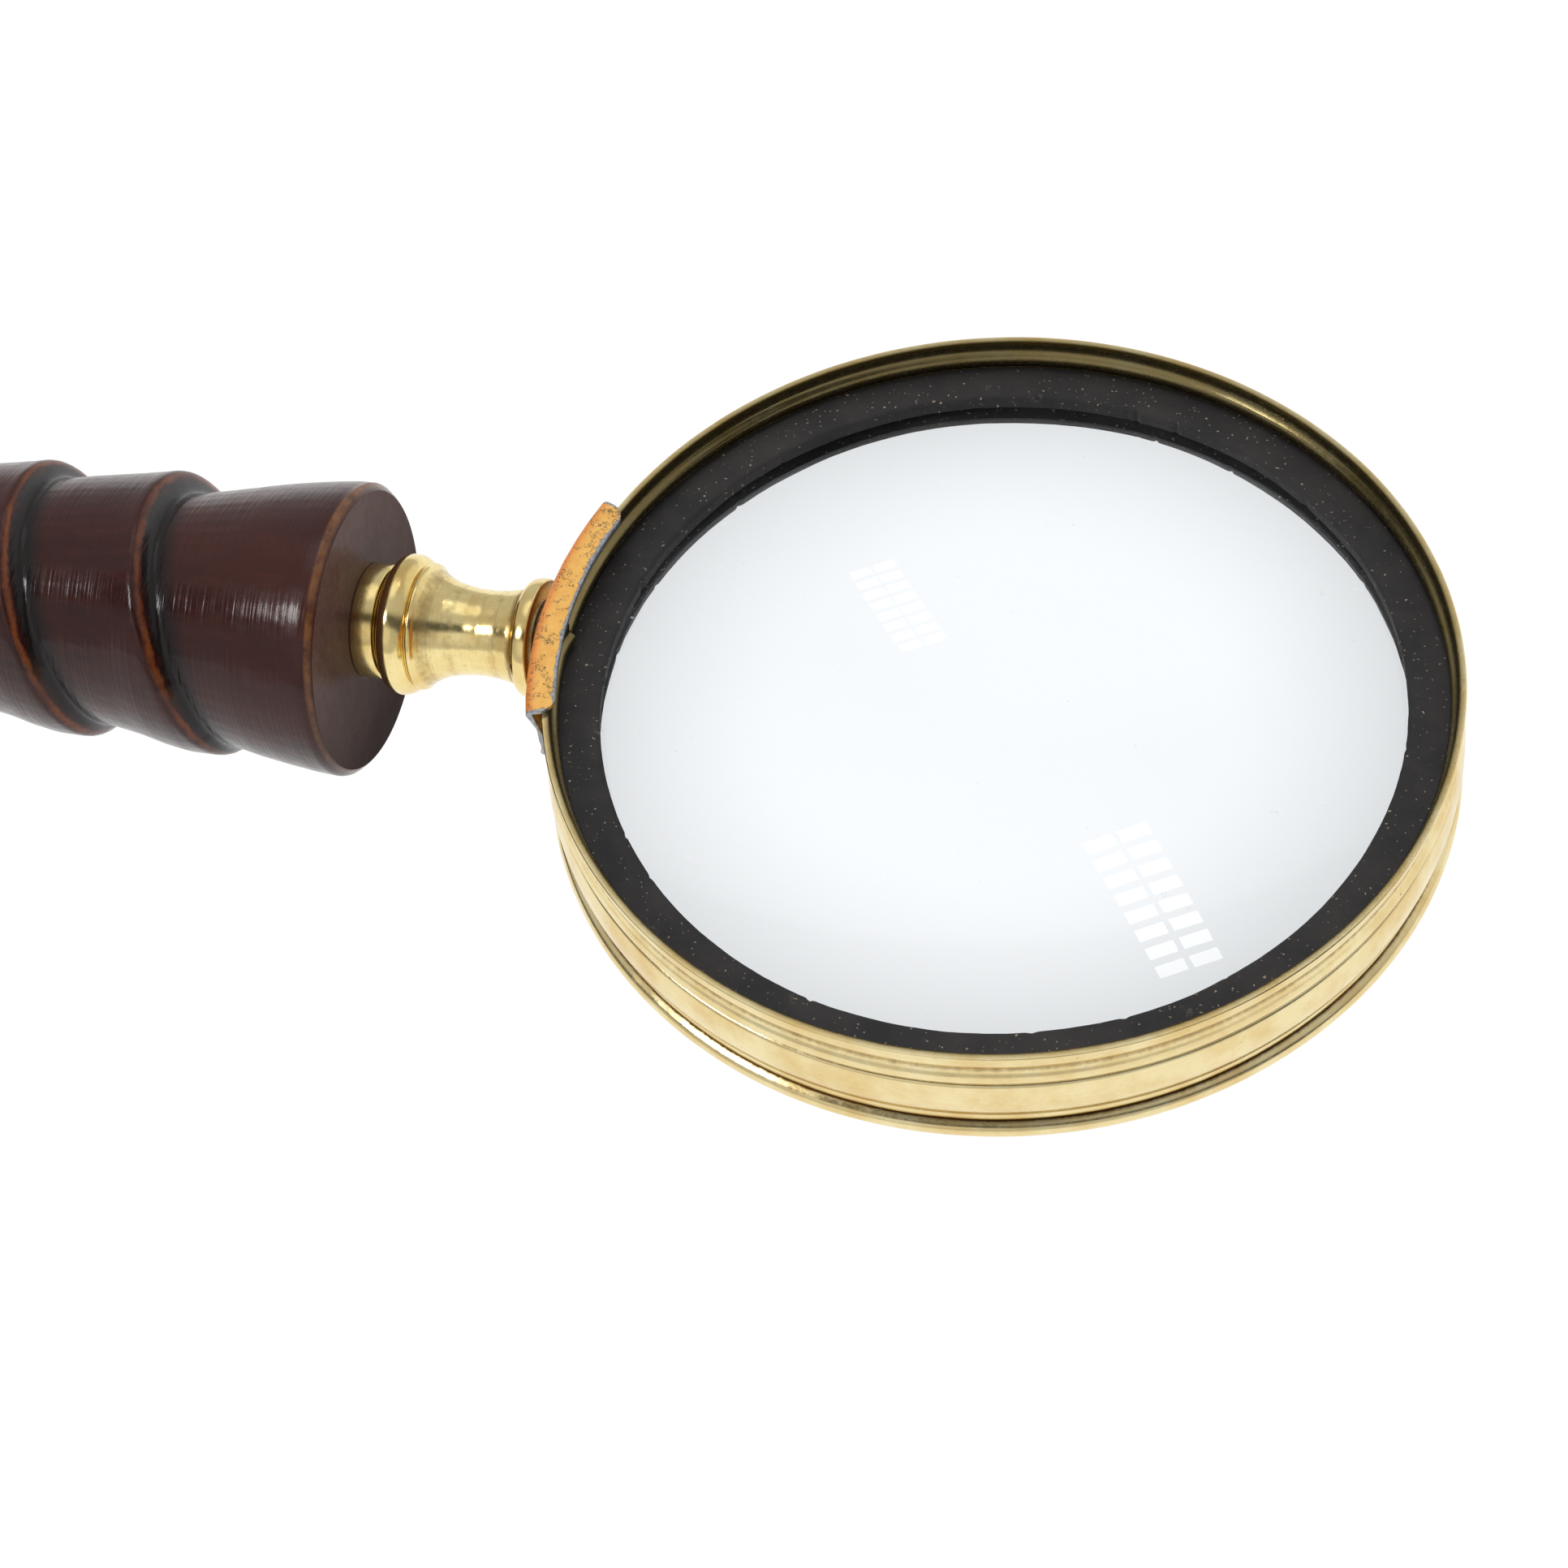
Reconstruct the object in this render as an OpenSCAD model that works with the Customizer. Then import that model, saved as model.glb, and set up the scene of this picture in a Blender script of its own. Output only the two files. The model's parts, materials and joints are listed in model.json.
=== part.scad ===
// Hand magnifying glass: a four-inch lens in a split rolled-brass rim, a sheet
// saddle clip, a turned brass neck and a ringed, flared turned grip.
// Millimetres. Origin at the centre of the lens, +Z along its optical axis,
// the handle runs towards -X and leans a few degrees towards -Z.

/* [Rim] */
// Outside diameter of the rim at its lip
rim_diameter = 104; // [90:0.5:120]
// Height of the rim from lip to lip
rim_height = 15.2; // [14:0.2:18]
// Thickness of the rolled brass sheet
rim_sheet = 0.9; // [0.7:0.05:1.1]
// Width of the open split between the two ends of the rim
split_gap = 0.6; // [0.3:0.1:1.5]

/* [Lens] */
// Thickness of the lens at its edge
lens_edge = 2.6; // [2:0.1:3.4]
// Radius of curvature of both lens faces
lens_curve = 300; // [220:10:600]
// Diameter of the opening inside the rubber gaskets
lens_opening = 91.3; // [84:0.1:94]

/* [Clip] */
// Angle of rim that the saddle clip's upper flange covers
clip_arc = 34.8; // [28:0.2:44]
// Angle by which the clip sits off the handle's plane
clip_turn = 1; // [-2:0.1:2]
// Thickness of the clip's sheet steel
clip_sheet = 0.7; // [0.5:0.05:0.8]
// Radius of the rounded corners of the clip's flanges
clip_corner = 2; // [1:0.1:2.4]

/* [Neck] */
// Angle by which the handle leans below the plane of the rim
handle_droop = 6; // [0:0.5:8]
// Radius of the brass neck at its waist
waist_radius = 5; // [4.6:0.1:6]
// Radius of the shank of the screw stud
stud_radius = 2.5; // [2:0.1:3]

/* [Grip] */
// Diameter of the grip at its front face
grip_diameter = 34.6; // [31:0.2:40]
// Number of flared segments along the grip
segments = 7; // [4:1:9]
// Distance from one segment lip to the next
segment_pitch = 16.75; // [15:0.05:18]
// Loss of radius from one segment to the next
segment_taper = 0.35; // [0:0.05:0.4]
// Angle by which the lips of the segments run askew
lip_lean = 16; // [0:1:18]
// Distance of the grip's bore from its own centre
bore_offset = 1.6; // [0:0.1:1.8]
// Radius of the steel rod through the grip
rod_radius = 3; // [2.5:0.1:3.5]

/* [Hidden] */
$fn = 96;
gap = 0.02;
thread_clearance = 0.06;

rim_radius = rim_diameter / 2;
rim_top = rim_height / 2;
wall_outer = rim_radius - 0.3;
wall_inner = wall_outer - rim_sheet;
gasket_top = rim_top - 3.74;
gasket_outer = wall_inner - 0.2;
lens_radius = rim_radius - 2;
lens_sag = lens_curve - sqrt(lens_curve * lens_curve - lens_radius * lens_radius);
lens_centre = lens_curve - lens_sag - lens_edge / 2;
split_angle = 3;

clip_outer = rim_radius + 1.75;
clip_inner_edge = rim_radius - 1.7;
clip_seat = rim_radius + 0.2;
end_slant = 15;
flange_low = rim_top + gap;
flange_high = flange_low + clip_sheet;
bend_radius = clip_sheet + 0.15;

// The handle's own axis starts where the neck's end face crosses it.
seat_x = rim_radius + 2.55;
washer_face = -0.95;
washer_back = 0.24;
washer_radius = 4.6;
spigot_radius = 4;
collar_radius = 6.75;
sleeve_radius = 5.5;
grip_face = 21.75;
grip_radius = grip_diameter / 2;
first_lip = 19.95;
last_segment = 17.8;
lean_side = 29;
lean_shift = 0.45;
shift_x = lean_shift * cos(lean_side);
shift_y = lean_shift * sin(lean_side);
grip_length = first_lip + (segments - 2) * segment_pitch + last_segment;
grip_end = grip_face + grip_length;
rod_end = grip_end + 6;
pocket_depth = 1.2;
butt_washer_radius = 8;
butt_washer_thickness = 1;

brass = [0.80, 0.68, 0.40];
lacquer = [0.88, 0.66, 0.33];
steel = [0.62, 0.63, 0.65];
rubber = [0.15, 0.15, 0.16];
glass = [0.86, 0.92, 0.95, 0.35];
horn = [0.24, 0.12, 0.10];

// Puts a shape drawn along +Z onto the handle's axis, starting at the neck.
module on_handle() {
    translate([-seat_x, 0, 0]) rotate([0, -90 - handle_droop, 0]) children();
}

// Turns a list of [distance, radius] stations into a solid of revolution.
module turned(stations) {
    first = stations[0];
    last = stations[len(stations) - 1];
    outline = [for (p = stations) [p[1], p[0]]];
    rotate_extrude() polygon(concat([[0, first[0]]], outline, [[0, last[0]]]));
}

// ---- rim -------------------------------------------------------------------

// Half section of the rolled rim: distance from the axis, then height.
module rim_section() {
    difference() {
        union() {
            translate([wall_inner, -rim_top + 0.4]) square([rim_sheet, rim_height - 0.4]);
            translate([rim_radius - 0.86, rim_top - 0.3]) square([0.86, 0.3]);
            intersection() {
                translate([rim_radius - 7.6, -0.5]) circle(r = 7.7);
                translate([wall_inner, -3.3]) square([3, 5.4]);
            }
            intersection() {
                translate([rim_radius - 0.9, rim_top - 4.35]) circle(r = 0.8);
                translate([wall_inner, 0]) square([3, rim_top]);
            }
            translate([rim_radius - 0.85, rim_top - 2.65]) circle(r = 0.9);
            translate([rim_radius - 0.9, -rim_top + 2.7]) circle(r = 0.9);
            translate([rim_radius - 0.85, -rim_top + 0.85]) circle(r = 0.85);
        }
        translate([rim_radius + 0.35, rim_top - 2.65]) circle(r = 1.05);
        translate([rim_radius + 0.5, -rim_top + 3.5]) circle(r = 1.3);
        translate([rim_radius - 0.8, rim_top - 5.25]) rotate(45) translate([0, -1]) square([1, 1]);
        translate([rim_radius - 1.1, -rim_top + 2.15]) square([2, 0.35]);
    }
}

module rim_band() {
    color(brass) difference() {
        rotate_extrude() rim_section();
        rotate([0, 0, split_angle])
            translate([-rim_radius - 2, -split_gap / 2, -rim_top - 1])
                cube([6, split_gap, rim_height + 2]);
        on_handle() translate([0, 0, -6]) cylinder(r = stud_radius + 0.9, h = 6);
    }
}

// ---- lens and gaskets ------------------------------------------------------

module lens() {
    color(glass) rotate_extrude() intersection() {
        translate([0, lens_centre]) circle(r = lens_curve, $fn = 1440);
        translate([0, -lens_centre]) circle(r = lens_curve, $fn = 1440);
        translate([0, -20]) square([lens_radius, 40]);
    }
}

// The gasket's underside is dished to lie on the curved face of the lens.
module gasket() {
    low = lens_edge / 2 + gap;
    rotate_extrude() difference() {
        translate([lens_opening / 2, low])
            square([gasket_outer - lens_opening / 2, gasket_top - low]);
        translate([0, -lens_centre]) circle(r = lens_curve + gap, $fn = 1440);
    }
}

module upper_gasket() {
    color(rubber) gasket();
}

module lower_gasket() {
    color(rubber) mirror([0, 0, 1]) gasket();
}

// ---- clip and stud ---------------------------------------------------------

// Half section of the clip: a bowed web, which rests on the middle of the rim,
// between two flanges that hook over its lips, with rounded bends.
module clip_section() {
    bend = [clip_outer - bend_radius, flange_high - bend_radius];
    outer = concat(
        [[clip_inner_edge, flange_high]],
        [for (a = [90:-15:0]) bend + bend_radius * [cos(a), sin(a)]],
        [[clip_seat + clip_sheet - 0.15, 3.4]]
    );
    inner = [
        [clip_seat - 0.15, 3.4],
        [clip_outer - clip_sheet, bend[1]],
        [clip_outer - clip_sheet - 0.1, flange_low],
        [clip_inner_edge, flange_low]
    ];
    outer_end = len(outer) - 1;
    inner_end = len(inner) - 1;
    polygon(concat(
        outer,
        [[clip_seat + clip_sheet, 0]],
        [for (i = [outer_end:-1:0]) [outer[i][0], -outer[i][1]]],
        [for (i = [inner_end:-1:0]) [inner[i][0], -inner[i][1]]],
        [[clip_seat, 0]],
        inner
    ));
}

// Cuts one rounded inner corner off the end of the upper flange.
module flange_corner_cut() {
    reach = clip_corner - 0.25;
    centre_r = clip_inner_edge + reach;
    rotate([0, 0, clip_arc / 2 - asin(reach / centre_r)])
        translate([centre_r, 0, rim_top - 1]) linear_extrude(3) difference() {
            translate([-reach - 1, 0]) square([reach + 1, reach + 1]);
            circle(r = clip_corner);
        }
}

// Slants one end of the clip, so that the web and the lower flange are shorter
// than the upper flange.
module end_cut() {
    rotate([0, 0, clip_arc / 2])
        translate([clip_inner_edge - 3, 0, flange_high])
            rotate([-end_slant, 0, 0])
                translate([0, 0, -2.5 * rim_top]) cube([9, 9, 3 * rim_top]);
}

module saddle_clip() {
    color(lacquer) difference() {
        rotate([0, 0, 180 + clip_turn - clip_arc / 2])
            rotate_extrude(angle = clip_arc) clip_section();
        rotate([0, 0, 180 + clip_turn])
            for (side = [0, 1])
                mirror([0, side, 0]) {
                    flange_corner_cut();
                    end_cut();
                }
        on_handle() translate([0, 0, -8]) cylinder(r = stud_radius + gap, h = 14);
    }
}

// Screw stud riveted into the clip; its flat head lies in the rim's notch.
module clip_stud() {
    color(steel) on_handle() {
        translate([0, 0, -3.45]) cylinder(r = stud_radius + 0.5, h = 0.5);
        translate([0, 0, -3]) cylinder(r = stud_radius, h = 12.4);
        translate([0, 0, 9.4]) cylinder(r1 = stud_radius, r2 = stud_radius - 0.6, h = 0.6);
    }
}

// ---- neck ------------------------------------------------------------------

module neck_washer() {
    color(steel) on_handle() difference() {
        translate([0, 0, washer_face]) cylinder(r = washer_radius, h = washer_back - washer_face);
        translate([0, 0, -2]) cylinder(r = stud_radius + thread_clearance, h = 4);
    }
}

module neck() {
    swell = waist_radius - 5;
    stations = [
        [0, 6.85], [0.2, 7.0], [1.2, 7.0], [1.7, 6.85], [2.1, 6.45], [2.35, 5.95],
        [2.42, 5.6 + swell], [3.0, 5.55 + swell], [3.7, 5.4 + swell],
        [4.8, 5.17 + swell], [6.8, 5 + swell], [8.6, 5.05 + swell],
        [10.2, 5.28 + swell], [11.3, 5.55 + swell], [12.3, 5.95 + swell],
        [13.2, 6.45], [13.9, 7.0], [14.1, 7.3], [14.45, 7.42], [14.8, 7.3], [14.9, 7.1]
    ];
    color(brass) on_handle() difference() {
        union() {
            turned(stations);
            translate([0, 0, 14.8]) cylinder(r = spigot_radius, h = 5.8);
        }
        translate([0, 0, -1]) cylinder(r = washer_radius + 0.2, h = 1 + washer_back + gap);
        translate([0, 0, -1]) cylinder(r = stud_radius + thread_clearance, h = 13);
    }
}

// Torus and plain collar between the neck and the grip, with its own spigot.
module ferrule() {
    stations = [
        [14.92, 7.1], [15.1, 7.45], [15.6, 7.9], [16.2, 8.17], [16.9, 8.25],
        [17.5, 8.13], [18, 7.8], [18.3, 7.2], [18.38, 6.3], [18.48, 6],
        [18.72, 6.02], [18.9, 6.45], [19.15, collar_radius], [grip_face - gap, collar_radius],
        [grip_face - gap, sleeve_radius], [grip_face + 10.6, sleeve_radius],
        [grip_face + 11, sleeve_radius - 0.4]
    ];
    color(brass) on_handle() difference() {
        turned(stations);
        translate([0, 0, 14]) cylinder(r = spigot_radius + gap, h = 6.8);
        translate([0, 0, 20]) cylinder(r = rod_radius + gap, h = 20);
    }
}

// ---- grip ------------------------------------------------------------------

// Radius of the grip at the lip of each flared segment, the front being segment 0.
function lip_radius(i) = i == 0 ? grip_radius : grip_radius - 0.65 - i * segment_taper;
// Distance of each lip behind the front face, on the axis.
function lip_at(i) = i == 0 ? 0 : first_lip + (i - 1) * segment_pitch;

// Outlines behind a lip as [distance, change of radius]: the front segment has
// a small chamfer, and the last one is rounded off at the butt.
front_flare = [
    [0, -0.9], [0.9, 0], [3.5, -0.2], [7, -0.65], [10.5, -1.2],
    [14, -1.9], [17.5, -2.6], [21, -3.3], [25, -4.1]
];
flare = [
    [-6, 0.7], [0, 0.6], [3, 0.1], [6, -0.65], [9, -1.15],
    [12, -1.6], [16, -2.2], [20, -2.9], [24, -3.6]
];
butt_flare = [
    [-6, 0.7], [0, 0.6], [3, 0.1], [6, -0.65], [9, -1.15],
    [last_segment - 4, -1.9], [last_segment - 2.2, -2.3], [last_segment - 0.9, -3],
    [last_segment - 0.2, -3.7], [last_segment, -4.1]
];

// Turns whatever follows into the plane of the askew lips.
module leaning() {
    rotate([0, 0, lean_side]) rotate([0, -lip_lean, 0]) children();
}

// One turned segment, cut off at both ends in the planes of the lips.
module segment(i) {
    outline = i == 0 ? front_flare : i == segments - 1 ? butt_flare : flare;
    reach = grip_length + 3 * grip_radius;
    ahead = i == 0 ? reach : 0;
    length = i == segments - 1 ? reach : segment_pitch * cos(lip_lean) + 0.5;
    start = i == 0 ? lip_at(1) - segment_pitch : lip_at(i);
    intersection() {
        translate(i == 0 ? [0, 0, 0] : [shift_x, shift_y, lip_at(i)])
            turned([for (p = outline) [p[0], lip_radius(i) + p[1]]]);
        translate([0, 0, start]) leaning()
            translate([0, 0, -ahead]) cylinder(r = 4 * grip_radius, h = length + ahead);
    }
}

module grip() {
    color(horn) on_handle() difference() {
        translate([0, -bore_offset, grip_face])
            for (i = [0:segments - 1]) segment(i);
        translate([0, 0, grip_face - 1]) cylinder(r = sleeve_radius + gap, h = 12.4);
        translate([0, 0, grip_face]) cylinder(r = rod_radius + 0.2, h = grip_length + 2);
        translate([0, 0, grip_end - pocket_depth]) cylinder(r = butt_washer_radius + 0.2, h = 4);
    }
}

module tie_rod() {
    color(steel) on_handle() {
        translate([0, 0, 20.8]) cylinder(r = rod_radius, h = rod_end - 21.4);
        translate([0, 0, rod_end - 0.6]) cylinder(r1 = rod_radius, r2 = rod_radius - 0.6, h = 0.6);
    }
}

// ---- butt end --------------------------------------------------------------

module butt_washer() {
    color(steel) on_handle() difference() {
        translate([0, 0, grip_end - pocket_depth + gap])
            cylinder(r = butt_washer_radius, h = butt_washer_thickness);
        translate([0, 0, grip_end - 4]) cylinder(r = rod_radius + thread_clearance, h = 8);
    }
}

module butt_cap() {
    stations = [
        [0, 7.2], [0.3, 7.5], [2, 7.5], [2.3, 7.2], [2.5, 6.2], [3.0, 6.0],
        [3.5, 6.3], [4.6, 6.5], [5.7, 6.3], [6.8, 5.7], [7.8, 4.7], [8.4, 3.6], [8.5, 3.2]
    ];
    seat = grip_end - pocket_depth + butt_washer_thickness + 2 * gap;
    color(brass) on_handle() difference() {
        translate([0, 0, seat]) turned(stations);
        translate([0, 0, seat - 1])
            cylinder(r = rod_radius + thread_clearance, h = rod_end - seat + 1.3);
    }
}

/* [Output] */
// Which piece to build

rim_band();
lens();
upper_gasket();
lower_gasket();
saddle_clip();
clip_stud();
neck_washer();
neck();
ferrule();
grip();
tie_rod();
butt_washer();
butt_cap();
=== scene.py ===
"""Looks for the hand magnifying glass: turned brass, split rolled rim, lacquered clip, rubber rings,
a biconvex lens and a glossy ringed grip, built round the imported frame."""

import json
import math
import random

import bpy
import numpy as np
from mathutils import Matrix, Vector, noise
from mathutils.bvhtree import BVHTree


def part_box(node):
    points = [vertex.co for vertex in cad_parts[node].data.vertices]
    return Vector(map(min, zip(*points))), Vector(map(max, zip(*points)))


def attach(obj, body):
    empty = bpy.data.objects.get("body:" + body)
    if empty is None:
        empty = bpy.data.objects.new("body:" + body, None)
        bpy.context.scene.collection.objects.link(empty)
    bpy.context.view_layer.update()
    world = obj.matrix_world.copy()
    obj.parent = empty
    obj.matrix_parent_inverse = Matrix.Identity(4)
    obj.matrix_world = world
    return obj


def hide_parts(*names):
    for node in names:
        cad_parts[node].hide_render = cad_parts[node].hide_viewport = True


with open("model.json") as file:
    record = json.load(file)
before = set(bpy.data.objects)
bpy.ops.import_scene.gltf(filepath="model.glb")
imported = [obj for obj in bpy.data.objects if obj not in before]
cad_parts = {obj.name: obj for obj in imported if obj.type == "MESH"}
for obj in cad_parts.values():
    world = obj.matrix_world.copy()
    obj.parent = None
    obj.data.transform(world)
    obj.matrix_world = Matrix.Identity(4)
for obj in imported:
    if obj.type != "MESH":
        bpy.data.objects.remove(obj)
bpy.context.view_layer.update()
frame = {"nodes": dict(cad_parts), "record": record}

MM = 0.001
TAU = 2 * math.pi

# ---- places taken from the frame --------------------------------------------

joints = {j["name"]: j for j in frame["record"]["behaviour"]["joints"]}
handle_axis = Vector(joints["handle_turn"]["axis"]).normalized()
neck_seat = Vector(joints["handle_turn"]["pos_m"])
handle_side = Vector((0, 1, 0))
handle_up = handle_side.cross(handle_axis)
HANDLE = Matrix.Translation(neck_seat) @ Matrix((handle_up, handle_side, handle_axis)).transposed().to_4x4()
HEAD = Matrix.Identity(4)


def stations(node, place, keep):
    """The turned outline of a CAD node: sorted (distance along the axis, radius) in millimetres."""
    inverse = place.inverted()
    found = set()
    for vertex in frame["nodes"][node].data.vertices:
        p = inverse @ vertex.co
        found.add((round(p.z / MM, 2), round(math.hypot(p.x, p.y) / MM, 2)))
    outline = []
    for z in sorted({z for z, r in found}):
        radii = [r for height, r in found if height == z]
        if max(radii) > keep:
            outline.append((z, max(radii)))
    return outline


# ---- outlines ----------------------------------------------------------------


def turning(a, b, c):
    """The angle by which the path a, b, c turns at b, in degrees."""
    u = Vector((b[0] - a[0], b[1] - a[1]))
    v = Vector((c[0] - b[0], c[1] - b[1]))
    if u.length < 1e-9 or v.length < 1e-9:
        return 0
    return math.degrees(u.angle(v))


def spline(points, step):
    """A smooth path through the points: a centripetal spline sampled every step millimetres."""
    if len(points) < 3:
        return list(points)
    p = [Vector(q) for q in points]
    p = [p[0] * 2 - p[1]] + p + [p[-1] * 2 - p[-2]]
    path = []
    for i in range(1, len(p) - 2):
        a, b, c, d = p[i - 1 : i + 3]
        t1 = max((b - a).length, 1e-6) ** 0.5
        t2 = t1 + max((c - b).length, 1e-6) ** 0.5
        t3 = t2 + max((d - c).length, 1e-6) ** 0.5
        count = max(1, round((c - b).length / step))
        for k in range(count):
            t = t1 + (t2 - t1) * k / count
            ab = a + (b - a) * (t / t1)
            bc = b + (c - b) * ((t - t1) / (t2 - t1))
            cd = c + (d - c) * ((t - t2) / (t3 - t2))
            abc = ab + (bc - ab) * (t / t2)
            bcd = bc + (cd - bc) * ((t - t1) / (t3 - t1))
            path.append(tuple(abc + (bcd - abc) * ((t - t1) / (t2 - t1))))
    return path + [tuple(points[-1])]


def smooth_outline(points, step=0.35, corner=38, bevel=0.1):
    """Runs of points between corners become splines, and each corner gets a small bevel."""
    runs = [[points[0]]]
    for a, b, c in zip(points, points[1:], points[2:]):
        if turning(a, b, c) < corner:
            runs[-1].append(b)
            continue
        here = Vector(b)
        back = Vector(a) - here
        ahead = Vector(c) - here
        before = here + back.normalized() * min(bevel, back.length / 3)
        after = here + ahead.normalized() * min(bevel, ahead.length / 3)
        runs[-1].append(tuple(before))
        runs.append([tuple(after)])
    runs[-1].append(points[-1])
    path = []
    for run in runs:
        path += spline(run, step)
    return path


def arc(centre, radius, start, end, step=12):
    """Points of a circular arc, angles in degrees."""
    count = max(2, round(abs(end - start) / step))
    angles = [math.radians(start + (end - start) * i / count) for i in range(count + 1)]
    return [(centre[0] + radius * math.cos(a), centre[1] + radius * math.sin(a)) for a in angles]


# ---- meshes ------------------------------------------------------------------


def hollow_of(outline, window):
    """How far each point of a closed outline lies below (+) or above (-) the average radius of the
    stretch of outline within window millimetres of it."""
    p = np.array(outline + outline[:1], float)
    steps = np.hypot(*np.diff(p, axis=0).T)
    along = np.concatenate([[0], np.cumsum(steps)])
    hollow = []
    for i, here in enumerate(along[:-1]):
        gap = np.abs(along - here)
        gap = np.minimum(gap, along[-1] - gap)
        near = gap < window
        hollow.append(p[near, 1].mean() - p[i, 1])
    return hollow


def outward(vertices, faces):
    """The faces, all turned over if they enclose a negative volume."""
    points = np.array(vertices, float)
    volume = 0.0
    for face in faces:
        corners = points[list(face)]
        crosses = np.cross(corners[1:-1], corners[2:])
        volume += (crosses @ corners[0]).sum()
    return faces if volume > 0 else [tuple(reversed(face)) for face in faces]


def piece(name, body, node, material, vertices, faces, place, corner=35, **marks):
    """A mesh in millimetres, put into the row frame on its body, standing for its CAD node.
    marks are lists with one number for each vertex, which the materials read."""
    mesh = bpy.data.meshes.new(name)
    mesh.from_pydata([tuple(v) for v in vertices], [], outward(vertices, faces))
    mesh.validate()
    local = mesh.attributes.new("turned", "FLOAT_VECTOR", "POINT")
    local.data.foreach_set("vector", np.array(vertices, np.float32).ravel())
    for mark, values in marks.items():
        mesh.attributes.new(mark, "FLOAT", "POINT").data.foreach_set("value", np.array(values, np.float32))
    mesh.transform(place @ Matrix.Scale(MM, 4))
    mesh.shade_smooth()
    mesh.set_sharp_from_angle(angle=math.radians(corner))
    mesh.materials.append(material)
    thing = bpy.data.objects.new(name, mesh)
    bpy.context.scene.collection.objects.link(thing)
    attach(thing, body)
    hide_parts(node)


def revolve(name, body, node, material, outline, place, around=192, shape=None, window=1.2, corner=35,
            capped=False):
    """Turns a closed outline of (distance, radius) about the local Z axis.
    shape(angle, z, r) may return a changed (z, r) for small unevenness. A capped outline starts and ends
    beside the axis, where two small flat faces close it."""
    outline = [p for i, p in enumerate(outline) if i == 0 or math.dist(p, outline[i - 1]) > 1e-4]
    if math.dist(outline[0], outline[-1]) < 1e-4:
        outline.pop()
    hollow = hollow_of(outline, window)
    vertices, shade = [], []
    for k in range(around):
        angle = TAU * k / around
        for (z, r), depth in zip(outline, hollow):
            if shape:
                z, r = shape(angle, z, r)
            vertices.append((r * math.cos(angle), r * math.sin(angle), z))
            shade.append(depth)
    n = len(outline)
    faces = []
    for k in range(around):
        here, there = k * n, (k + 1) % around * n
        for i in range(n - 1 if capped else n):
            j = (i + 1) % n
            faces.append((here + i, there + i, there + j, here + j))
    if capped:
        faces.append(tuple(k * n for k in reversed(range(around))))
        faces.append(tuple(k * n + n - 1 for k in range(around)))
    piece(name, body, node, material, vertices, faces, place, corner, hollow=shade)


# ---- materials ---------------------------------------------------------------


class Paint:
    """A material and short calls that add nodes to it."""

    def __init__(self, name):
        self.material = bpy.data.materials.new(name)
        self.material.use_nodes = True
        self.tree = self.material.node_tree
        self.shader = self.tree.nodes["Principled BSDF"]
        self.output = self.tree.nodes["Material Output"]

    def add(self, kind, inputs=None, **settings):
        node = self.tree.nodes.new("ShaderNode" + kind)
        for key, value in settings.items():
            setattr(node, key, value)
        for key, value in (inputs or {}).items():
            self.feed(node.inputs[key], value)
        return node

    def feed(self, socket, value):
        if isinstance(value, bpy.types.NodeSocket):
            self.tree.links.new(value, socket)
        elif isinstance(value, tuple) and len(value) == 3 and socket.type == "RGBA":
            socket.default_value = (*value, 1)
        else:
            socket.default_value = value

    def set(self, **inputs):
        for key, value in inputs.items():
            self.feed(self.shader.inputs[key.replace("_", " ")], value)

    def attribute(self, name, output="Fac"):
        return self.add("Attribute", attribute_name=name).outputs[output]

    def math(self, operation, a, b=0.0, clamp=False):
        node = self.add("Math", {0: a, 1: b}, operation=operation)
        node.use_clamp = clamp
        return node.outputs[0]

    def span(self, value, low, high, to_low=0.0, to_high=1.0):
        """value mapped from low..high to to_low..to_high, clamped."""
        inputs = {"Value": value, "From Min": low, "From Max": high, "To Min": to_low, "To Max": to_high}
        return self.add("MapRange", inputs).outputs["Result"]

    def stretch(self, vector, x, y, z):
        return self.add("Mapping", {"Vector": vector, "Scale": (x, y, z)}).outputs[0]

    def noise(self, vector, scale, detail=3.0, rough=0.5, distortion=0.0):
        inputs = {"Vector": vector, "Scale": scale, "Detail": detail}
        inputs.update({"Roughness": rough, "Distortion": distortion})
        return self.add("TexNoise", inputs).outputs["Fac"]

    def jitter(self, value, noise, amount):
        """value moved up and down by a noise, by amount from end to end."""
        return self.math("ADD", value, self.math("MULTIPLY", self.math("SUBTRACT", noise, 0.5), amount))

    def contour(self, field, level, width):
        """1 where a field crosses a level, falling to 0 where it is width away from it."""
        away = self.math("ABSOLUTE", self.math("SUBTRACT", field, level))
        return self.span(away, 0.0, width, 1.0, 0.0)

    def mix(self, factor, a, b):
        node = self.add("Mix", data_type="RGBA")
        self.feed(node.inputs[0], factor)
        self.feed(node.inputs[6], a)
        self.feed(node.inputs[7], b)
        return node.outputs[2]

    def bump(self, height, strength, distance, normal=None):
        inputs = {"Height": height, "Strength": strength, "Distance": distance}
        if normal is not None:
            inputs["Normal"] = normal
        return self.add("Bump", inputs).outputs[0]


def linear(r, g, b):
    """An sRGB colour given as 0..255 in linear light."""
    return tuple(((c / 255 + 0.055) / 1.055) ** 2.4 if c > 10 else c / 255 / 12.92 for c in (r, g, b))


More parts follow.
